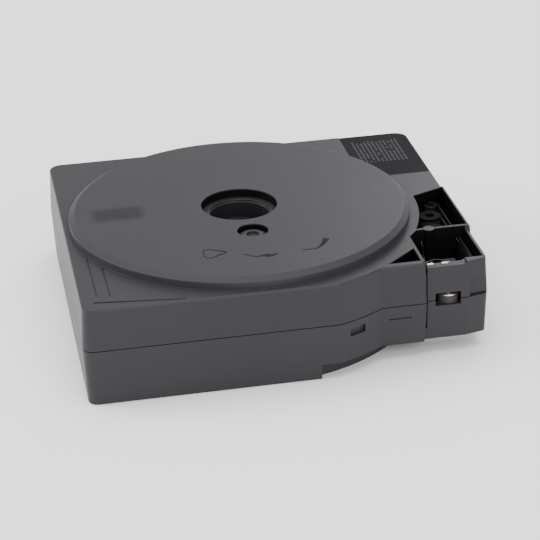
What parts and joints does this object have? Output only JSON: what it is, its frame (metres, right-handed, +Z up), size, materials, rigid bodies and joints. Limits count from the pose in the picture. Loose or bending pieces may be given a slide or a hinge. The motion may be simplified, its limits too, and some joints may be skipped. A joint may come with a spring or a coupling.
{
  "type": "label tape cassette",
  "caption": "Flat two-shell label cassette with a raised roll disc, open ribbon bay, print head well and a small feed roller behind a front window.",
  "frame": {"origin": "centre of the footprint on the base plane", "axes": "+Z up out of the roll disc, +X towards the ribbon bay, -Y towards the feed roller window"},
  "size_m": [0.091, 0.0818, 0.0252],
  "materials": {
    "case_plastic": "fine moulded texture, satin",
    "core_plastic": "moulded black",
    "pin_plastic": "moulded dark grey",
    "spool_plastic": "moulded dark grey",
    "roller_plastic": "acetal, smooth",
    "label_stock": "black vinyl on a liner",
    "clear_film": "thin film",
    "ribbon_film": "ink coated film",
    "roller_rubber": "brown grey rubber",
    "steel": "ground steel",
    "spring_steel": "stainless spring strip"
  },
  "bodies": {
    "case": {"lower_case": "case_plastic", "upper_case": "case_plastic", "label_strip": "label_stock", "ribbon_strip": "ribbon_film", "rear_guide_pin": "steel", "front_guide_pin": "steel", "rear_guide_washer": "roller_plastic", "front_guide_washer": "roller_plastic", "peel_post": "steel", "roller_clip": "spring_steel", "ribbon_supply_washer": "spring_steel", "ribbon_takeup_washer": "spring_steel", "core_brake_spring": "spring_steel"},
    "roll": {"label_core": "core_plastic", "label_roll": "label_stock", "spacer_disc_lower": "clear_film", "spacer_disc_upper": "clear_film"},
    "brake_pin": {"core_brake_pin": "pin_plastic"},
    "ribbon_supply": {"ribbon_supply_core": "spool_plastic", "ribbon_supply_roll": "ribbon_film"},
    "ribbon_takeup": {"ribbon_takeup_core": "spool_plastic", "ribbon_takeup_roll": "ribbon_film"},
    "feed_roller": {"feed_roller_axle": "steel", "feed_sleeve_lower": "roller_rubber", "feed_washer": "steel", "feed_sleeve_upper": "roller_rubber"},
    "rear_guide": {"rear_guide_roller": "roller_plastic"},
    "front_guide": {"front_guide_roller": "roller_plastic"}
  },
  "joints": [
    {"name": "roll_spin", "type": "hinge", "parent": "case", "child": "roll", "pos_m": [-0.00461, 0.00035, 0.01308], "axis": [0, 0, 1], "continuous": true},
    {"name": "brake_press", "type": "slide", "parent": "case", "child": "brake_pin", "axis": [0, 0, -1], "range_m": [0, 0.0008], "stiffness_N_per_m": 400, "deforming": ["core_brake_spring"]},
    {"name": "supply_spin", "type": "hinge", "parent": "case", "child": "ribbon_supply", "pos_m": [0.03914, -0.00465, 0.01308], "axis": [0, 0, 1], "continuous": true},
    {"name": "takeup_spin", "type": "hinge", "parent": "case", "child": "ribbon_takeup", "pos_m": [0.03809, -0.01295, 0.01308], "axis": [0, 0, 1], "continuous": true},
    {"name": "feed_spin", "type": "hinge", "parent": "case", "child": "feed_roller", "pos_m": [0.03624, -0.0314, 0.01308], "axis": [0, 0, 1], "continuous": true},
    {"name": "rear_guide_spin", "type": "hinge", "parent": "case", "child": "rear_guide", "pos_m": [0.04099, 0.00155, 0.01308], "axis": [0, 0, 1], "continuous": true},
    {"name": "front_guide_spin", "type": "hinge", "parent": "case", "child": "front_guide", "pos_m": [0.04099, -0.02985, 0.01308], "axis": [0, 0, 1], "continuous": true}
  ],
  "couplings": [
    {"joint": "feed_spin", "follows": "roll_spin", "ratio": -14.783},
    {"joint": "rear_guide_spin", "follows": "roll_spin", "ratio": 23.448},
    {"joint": "front_guide_spin", "follows": "roll_spin", "ratio": 23.448},
    {"joint": "supply_spin", "follows": "roll_spin", "ratio": 13.6},
    {"joint": "takeup_spin", "follows": "roll_spin", "ratio": 10.625}
  ]
}
